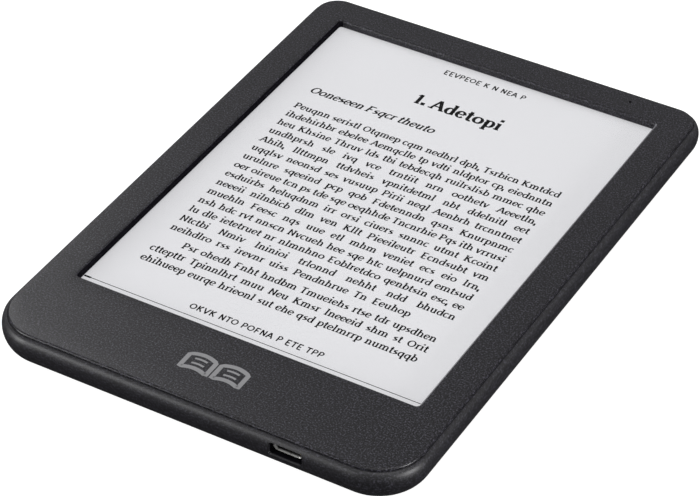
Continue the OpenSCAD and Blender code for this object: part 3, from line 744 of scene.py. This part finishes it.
def buildButton():
    # a loft of stadium sections along Y: flange, stem, then a rounded and crowned cap
    b, c = button, buttonCap
    wide, tall, back, front = c["flange"], c["flangeHeight"], c["flangeBack"], c["flangeFront"]
    plan = [(wide - c["backBevel"], tall - c["backBevel"], back),
            (wide, tall, back + c["bevelLength"]),
            (wide, tall, front - c["bevelLength"]),
            (wide - c["frontBevel"], tall - c["frontBevel"], front),
            (b["length"], b["height"], front + 0.01 * mm)]
    for t in arc(0, 90, 8):
        shrink = 2 * c["edge"] * (1 - math.cos(t))
        plan.append((b["length"] - shrink, b["height"] - shrink,
                     c["top"] - c["crown"] - c["edge"] * (1 - math.sin(t))))
    for s in (0.75, 0.5, 0.25):
        plan.append(((b["length"] - 2 * c["edge"]) * s, (b["height"] - 2 * c["edge"]) * s,
                     c["top"] - c["crown"] * s * s))
    sections = [roundedSection(w, h, h / 2 - tiny, 12) for w, h, _ in plan]
    points, faces = loftY(sections, [y for _, _, y in plan], (b["x"], b["z"]))
    piece = makeMesh("power_button_cap", points, faces, "button_plastic")
    joinSolids(piece, [boxSolid((b["x"], back - c["bossSunk"], b["z"]), c["boss"])])
    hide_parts("power_button")
    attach(piece, "power_button")


buildSocket()
buildButton()
print("socket and button built")

# ---- the page ----

page = dict(low=6.663 * mm, thick=0.008 * mm, seed=23)


def stroke(path, widths, closed=False):
    # a thin flat band: the path pushed to both sides along its normal by half its width
    path = np.asarray(path, float)
    step = np.roll(path, -1, 0) - np.roll(path, 1, 0) if closed else np.gradient(path, axis=0)
    side = np.stack([-step[:, 1], step[:, 0]], 1) / np.linalg.norm(step, axis=1)[:, None]
    half = np.broadcast_to(np.asarray(widths, float) / 2, len(path))[:, None]
    left, right = path + side * half, path - side * half
    low, high = np.zeros(len(path)), np.ones(len(path))
    points = np.stack([np.column_stack([left, low]), np.column_stack([right, low]),
                       np.column_stack([right, high]), np.column_stack([left, high])], 1)
    faces = gridFaces(len(path), 4, closeRows=closed)[:, ::-1]
    if not closed:
        last = 4 * (len(path) - 1)
        faces = np.concatenate([faces, [[0, 1, 2, 3], [last + 3, last + 2, last + 1, last]]])
    return points.reshape(-1, 3), faces


def ovalStroke(x, y, rx, ry, start, end, pen, steps=11):
    # an arc of an oval drawn with a broad pen: thick where it runs upright, thin across
    closed = end - start >= 360
    t = np.radians(np.linspace(start, end, steps + 1))[:-1 if closed else None]
    widths = pen["hair"] + (pen["stem"] - pen["hair"]) * np.abs(np.cos(t)) ** 1.3
    return stroke(np.stack([x + rx * np.cos(t), y + ry * np.sin(t)], 1), widths, closed)


def stemStroke(x, low, high, pen):
    return stroke([(x, low), (x, high)], pen["stem"])


def serif(x, y, left, right, pen):
    return [stroke([(x - left, y), (x + right, y)], pen["hair"])] if pen["serif"] else []


def feet(x, low, pen):
    return serif(x, low + pen["hair"] / 2, 0.24, 0.24, pen)


def flag(x, high, pen):
    return serif(x, high - pen["hair"] / 2, 0.24, 0.0, pen)


def upright(low, high, pen):
    # a letter's left stem with its foot and flag
    return [stemStroke(0.28, low, high, pen)] + feet(0.28, low, pen) + flag(0.28, high, pen)


# each maker returns its strokes and its width, with the small letters one unit high
def post(pen, low=0.0, high=1.0):
    return upright(low, high, pen), 0.58


def dotted(pen):
    strokes, width = post(pen)
    return strokes + [stemStroke(0.28, 1.27, 1.27 + pen["stem"], pen)], width


def arch(pen, high=1.0, count=1):
    strokes = upright(0, high, pen)
    for k in range(count):
        x = 0.28 + 0.56 * k
        strokes.append(ovalStroke(x + 0.28, 0.62, 0.28, 0.34, 160, 0, pen, 8))
        strokes.append(stemStroke(x + 0.56, 0, 0.64, pen))
        strokes += feet(x + 0.56, 0, pen)
    return strokes, 0.58 + 0.56 * count


def cup(pen):
    return [stemStroke(0.26, 0.36, 1, pen), stemStroke(0.82, 0, 1, pen),
            ovalStroke(0.54, 0.38, 0.28, 0.34, 180, 340, pen, 8)] + flag(0.26, 1, pen) \
        + flag(0.82, 1, pen) + serif(0.82, pen["hair"] / 2, 0, 0.2, pen), 1.1


def ring(pen, high=1.0):
    tall = high / 2 - pen["hair"] / 2
    return [ovalStroke(0.5 * high, high / 2, 0.38 * high, tall, 0, 360, pen, 14)], high


def barred(pen):
    return [ovalStroke(0.47, 0.5, 0.35, 0.46, 5, 322, pen, 12),
            stroke([(0.14, 0.52), (0.8, 0.52)], pen["hair"])], 0.9


def openRing(pen):
    return [ovalStroke(0.46, 0.5, 0.34, 0.46, 42, 320, pen, 11)], 0.82


def rightBowl(pen, low=-0.5, high=1.0):
    return upright(low, high, pen) + [ovalStroke(0.56, 0.5, 0.34, 0.46, 0, 360, pen, 12)], 1.02


def leftBowl(pen, low=0.0, high=1.5):
    return [stemStroke(0.8, low, high, pen), ovalStroke(0.5, 0.46, 0.34, 0.44, 0, 360, pen, 12)] \
        + flag(0.8, high, pen) + serif(0.8, low + pen["hair"] / 2, 0, 0.2, pen), 1.04


def arm(pen):
    return upright(0, 1, pen) + [ovalStroke(0.56, 0.6, 0.28, 0.36, 165, 60, pen, 5)], 0.74


def wave(pen):
    t = np.linspace(-1, 1, 12)
    path = np.stack([0.4 - 0.27 * np.sin(t * 4.1) * (1 - 0.12 * t), 0.5 + 0.45 * t], 1)
    return [stroke(path, pen["hair"] + (pen["stem"] - pen["hair"]) * np.cos(t * 1.5) ** 2)], 0.78


def crossed(pen):
    return [stemStroke(0.3, 0.12, 1.34, pen),
            stroke([(0.04, 0.96), (0.58, 0.96)], pen["hair"] * 1.2),
            ovalStroke(0.47, 0.2, 0.17, 0.18, 190, 330, pen, 4)], 0.64


def wedge(pen):
    return [stroke([(0.14, 1), (0.46, 0)], pen["stem"]),
            stroke([(0.46, 0), (0.8, 1)], pen["hair"] * 1.3)] \
        + serif(0.14, 1 - pen["hair"] / 2, 0.16, 0.18, pen) \
        + serif(0.8, 1 - pen["hair"] / 2, 0.16, 0.14, pen), 0.92


def capPost(pen, arms=2):
    top = 1.4 - pen["hair"] / 2
    strokes = [stemStroke(0.3, 0, 1.4, pen)] + feet(0.3, 0, pen) + serif(0.3, top, 0.24, 0.2, pen)
    for k in range(arms):
        strokes.append(stroke([(0.3, top - 0.65 * k), (0.98 - 0.16 * (k % 2), top - 0.65 * k)],
                              pen["hair"] * 1.2))
    return strokes, 1.12


def capBowl(pen):
    strokes, _ = capPost(pen, 0)
    return strokes + [ovalStroke(0.5, 0.98, 0.48, 0.38, -100, 100, pen, 9)], 1.16


def capTent(pen):
    return [stroke([(0.12, 0), (0.62, 1.4)], pen["hair"] * 1.4),
            stroke([(0.62, 1.4), (1.14, 0)], pen["stem"]),
            stroke([(0.34, 0.48), (0.94, 0.48)], pen["hair"])] \
        + feet(0.12, 0, pen) + feet(1.14, 0, pen), 1.28


def capLegs(pen):
    strokes, _ = capPost(pen, 0)
    return strokes + [stroke([(0.34, 0.6), (1.0, 1.4)], pen["hair"] * 1.4),
                      stroke([(0.5, 0.8), (1.08, 0)], pen["stem"])] + feet(1.1, 0, pen), 1.3


def capBar(pen):
    top = 1.4 - pen["hair"] / 2
    return [stemStroke(0.54, 0, 1.4, pen), stroke([(0.06, top), (1.02, top)], pen["hair"] * 1.2)] \
        + feet(0.54, 0, pen), 1.1


def capWedge(pen):
    return [stroke([(0.1, 1.4), (0.6, 0)], pen["stem"]),
            stroke([(0.6, 0), (1.1, 1.4)], pen["hair"] * 1.3)], 1.2


def capGate(pen):
    return [stemStroke(0.28, 0, 1.4, pen), stemStroke(1.02, 0, 1.4, pen),
            stroke([(0.28, 1.34), (1.02, 0.06)], pen["hair"] * 1.3)] \
        + feet(0.28, 0, pen) + serif(1.02, 1.4 - pen["hair"] / 2, 0.2, 0.2, pen), 1.3


# the letters and how often each is used
smallMakers = [(barred, 17), (arch, 10), (dotted, 8), (wave, 7), (arm, 8), (leftBowl, 6),
               (crossed, 8), (cup, 6), (lambda pen: post(pen, 0, 1.5), 5),
               (lambda pen: arch(pen, 1.5), 6), (openRing, 5), (rightBowl, 3),
               (lambda pen: leftBowl(pen, -0.5, 1.0), 4), (ring, 4),
               (lambda pen: arch(pen, 1.0, 2), 3), (wedge, 3),
               (lambda pen: rightBowl(pen, 0, 1.5), 3)]
capMakers = [(capPost, 2), (capBowl, 3), (capTent, 2), (capLegs, 2), (capBar, 3), (capWedge, 1),
             (lambda pen: ring(pen, 1.4), 2), (lambda pen: capPost(pen, 3), 3), (capGate, 3)]


def stop(pen, tail=0.0):
    size = pen["stem"] * 1.15
    return [stroke([(0.16, -tail), (0.16, size)], size)], 0.36


def cutType(makers, pen):
    # a fount: each shape's mesh and width, and how often it is used
    weights = np.array([w for _, w in makers], float)
    shapes = [maker(pen) for maker, _ in makers]
    return dict(shapes=[(merge(s), width) for s, width in shapes], weights=weights / weights.sum())


class Typesetter:
    # gathers letters as placed copies of the fount's meshes
    def __init__(self, rng):
        self.rng, self.points, self.faces, self.count = rng, [], [], 0

    def place(self, shape, x, y, size, slant):
        points, faces = shape
        moved = points * [size, size, page["thick"]] + [x, y, page["low"]]
        moved[:, 0] += slant * points[:, 1] * size
        self.points.append(moved)
        self.faces.append(faces + self.count)
        self.count += len(points)

    def pick(self, fount, letters):
        which = self.rng.choice(len(fount["shapes"]), size=letters, p=fount["weights"])
        return [fount["shapes"][k] for k in which]


def makeWord(setter, pen, letters, capital=False, ending=None):
    # a word is a list of shapes with their widths
    word = setter.pick(pen["caps"], 1) if capital else []
    word += setter.pick(pen["small"], letters - len(word))
    if ending:
        shapes, width = stop(pen, ending)
        word.append((merge(shapes), width))
    return word


def widthOf(word):
    return sum(width for _, width in word)


def setWords(setter, words, start, end, baseline, size, slant=0.0):
    # words side by side from start, spread evenly to end
    total = sum(widthOf(word) for word in words) * size
    gap = (end - start - total) / max(len(words) - 1, 1)
    x = start
    for word in words:
        for shape, width in word:
            setter.place(shape, x, baseline, size, slant)
            x += width * size
        x += gap


def setRun(setter, words, run, gap, slant=0.0):
    # the words at the size at which they and their gaps (in letter heights) fill the run,
    # given as its left, right and baseline in mm
    start, end, baseline = [v * mm for v in run]
    size = (end - start) / (sum(widthOf(word) for word in words) + gap * (len(words) - 1))
    setWords(setter, words, start, end, baseline, size, slant)


def addPen(stem, hair, serifs=True):
    pen = dict(stem=stem, hair=hair, serif=serifs)
    pen["small"] = cutType(smallMakers, pen)
    pen["caps"] = cutType(capMakers, pen)
    return pen


textBlock = dict(left=-38.7 * mm, right=37.4 * mm, first=32.45 * mm, pitch=4.15 * mm, lines=15,
                 lastRight=27.7 * mm, height=1.62 * mm, indent=6.4 * mm, second=-30.6 * mm,
                 secondLines=3, secondRight=36.9 * mm, title=(-13.4, 11.8, 49.55),
                 subtitle=(-38.7, -2.4, 40.1), head=(-12.6, 11.2, 64.6),
                 foot=(-18.7, 17.7, -48.5))
# the line under the page and its filled start
progress = dict(y=-50.8 * mm, tall=0.2 * mm, filled=-44.5 * mm, filledTall=0.55 * mm,
                beyond=0.3 * mm)
# how many letters a word has, and how often
wordLengths = dict(a=range(2, 11), p=[0.07, 0.26, 0.13, 0.12, 0.13, 0.11, 0.08, 0.06, 0.04])


def setParagraph(setter, pen, lines, first, indent, lastRight):
    b = textBlock
    capital = True
    for k in range(lines):
        left = b["left"] + (indent if k == 0 else 0)
        right = lastRight if k == lines - 1 else b["right"]
        room = (right - left) / b["height"]
        words, used = [], 0.0
        while True:
            letters = int(setter.rng.choice(**wordLengths))
            ending = setter.rng.choice([None, 0.0, 0.28], p=[0.86, 0.08, 0.06])
            noun = capital or (letters > 3 and setter.rng.random() < 0.34)
            word = makeWord(setter, pen, letters, noun, ending)
            if used + widthOf(word) + 0.42 * len(words) > room:
                break
            words.append(word)
            used += widthOf(word)
            capital = ending == 0.0
        setWords(setter, words, left, right, first - k * b["pitch"], b["height"])


def printPage():
    setter = Typesetter(np.random.default_rng(page["seed"]))
    book = addPen(0.28, 0.155)
    bold = addPen(0.34, 0.155)
    plain = addPen(0.26, 0.22, False)
    b = textBlock
    setParagraph(setter, book, b["lines"], b["first"], 0, b["lastRight"])
    setParagraph(setter, book, b["secondLines"], b["second"], b["indent"], b["secondRight"])
    # title: a numbered heading, bold
    numeral = [(merge([stemStroke(0.4, 0, 1.4, bold), stroke([(0.4, 1.38), (0.1, 1.16)], 0.12)]
                      + feet(0.4, 0, bold)), 0.8), (merge(stop(bold)[0]), 0.45)]
    # a capital and six small letters, set a little apart
    letters = [maker(bold)
               for maker in (capTent, leftBowl, barred, crossed, ring, rightBowl, dotted)]
    title = [numeral, [(merge(strokes), width + 0.07) for strokes, width in letters]]
    setRun(setter, title, b["title"], 0.42)
    # subtitle: slanted
    line = [makeWord(setter, book, n, noun) for n, noun in ((8, True), (5, True), (6, False))]
    setRun(setter, line, b["subtitle"], 0.4, slant=0.24)
    # running head and foot: small plain capitals
    for lengths, run in [((7, 1, 1, 3, 1), b["head"]), ((4, 3, 5, 1, 3, 3), b["foot"])]:
        setRun(setter, [setter.pick(plain["caps"], n) for n in lengths], run, 0.6)
    # progress line with its filled start
    p = progress
    half = window["halfWidth"] + p["beyond"]
    for right, tall in [(half, p["tall"]), (p["filled"], p["filledTall"])]:
        setter.place(stroke([(-half, p["y"]), (right, p["y"])], tall), 0, 0, 1, 0)
    piece = makeMesh("page_ink", np.concatenate(setter.points), np.concatenate(setter.faces), None)
    piece.data.materials.append(inkFinish)
    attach(piece, "housing")


# e-paper's black particles: a dark neutral grey, dull
inkFinish = makeFinish("page_black", low="#050506", high="#0a0a0b", grain=0.3, blotch=6, relief=0,
                       rough=(0.8, 0.9), shine=0.05)
printPage()

# ---- the mark on the frame ----

mark = dict(middle=(0.2 * mm, -66.45 * mm), half=8.4 * mm, height=6.6 * mm, pen=1.15 * mm,
            spine=0.75 * mm, thick=0.01 * mm, sag=1.0 * mm)


def printMark():
    # a plain open book: the outlines of two bowed pages side by side, with two rules on each
    m = mark
    t = np.linspace(0, 1, 16)
    bow = m["sag"] * (np.sin(np.pi * t) ** 0.8 - 0.3)
    top, foot = m["height"] / 2 - m["pen"], (m["pen"] - m["height"]) / 2
    strokes = []
    for side in (-1, 1):
        x = side * (m["spine"] + (m["half"] - m["pen"] / 2 - m["spine"]) * t)
        lower, upper = np.stack([x, foot + bow], 1), np.stack([x, top + bow], 1)
        strokes.append(stroke(np.concatenate([lower, upper[::-1]]), m["pen"], closed=True))
        for k in (1, 2):
            rule = lower * (1 - k / 3) + upper * k / 3
            strokes.append(stroke(rule[4:-4], m["pen"] * 0.5))
    points, faces = merge(strokes)
    points[:, :2] += m["middle"]
    points[:, 2] = bezelTop() + points[:, 2] * m["thick"]
    piece = makeMesh("frame_mark", points, faces, None)
    piece.data.materials.append(markFinish)
    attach(piece, "housing")


# pad-printed grey ink, a little glossier than the plastic round it
markFinish = makeFinish("mark_grey", low="#747476", high="#808082", grain=0.3, blotch=4,
                        relief=0.004, rough=(0.4, 0.5), shine=0.3)
printMark()
print("page and mark printed")

# ---- floor ----

table = dict(half=3.0, low=-0.05 * mm, colour="#9a9a9a", rough=0.9, glow=0.9)


def layFloor():
    # a pale table top, brightened so that the shadow stays faint
    mat = bpy.data.materials.new("paleTable")
    mat.use_nodes = True
    fill(mat, mat.node_tree.nodes["Principled BSDF"],
         {"Base Color": linear(table["colour"]), "Roughness": table["rough"],
          "Emission Color": (1, 1, 1, 1), "Emission Strength": table["glow"]})
    half, low = table["half"], table["low"]
    mesh = bpy.data.meshes.new("floor")
    mesh.from_pydata([(-half, -half, low), (half, -half, low), (half, half, low),
                      (-half, half, low)], [], [[0, 1, 2, 3]])
    mesh.materials.append(mat)
    floor = bpy.data.objects.new("floor", mesh)
    bpy.context.scene.collection.objects.link(floor)
    floor.visible_diffuse = floor.visible_glossy = False


layFloor()
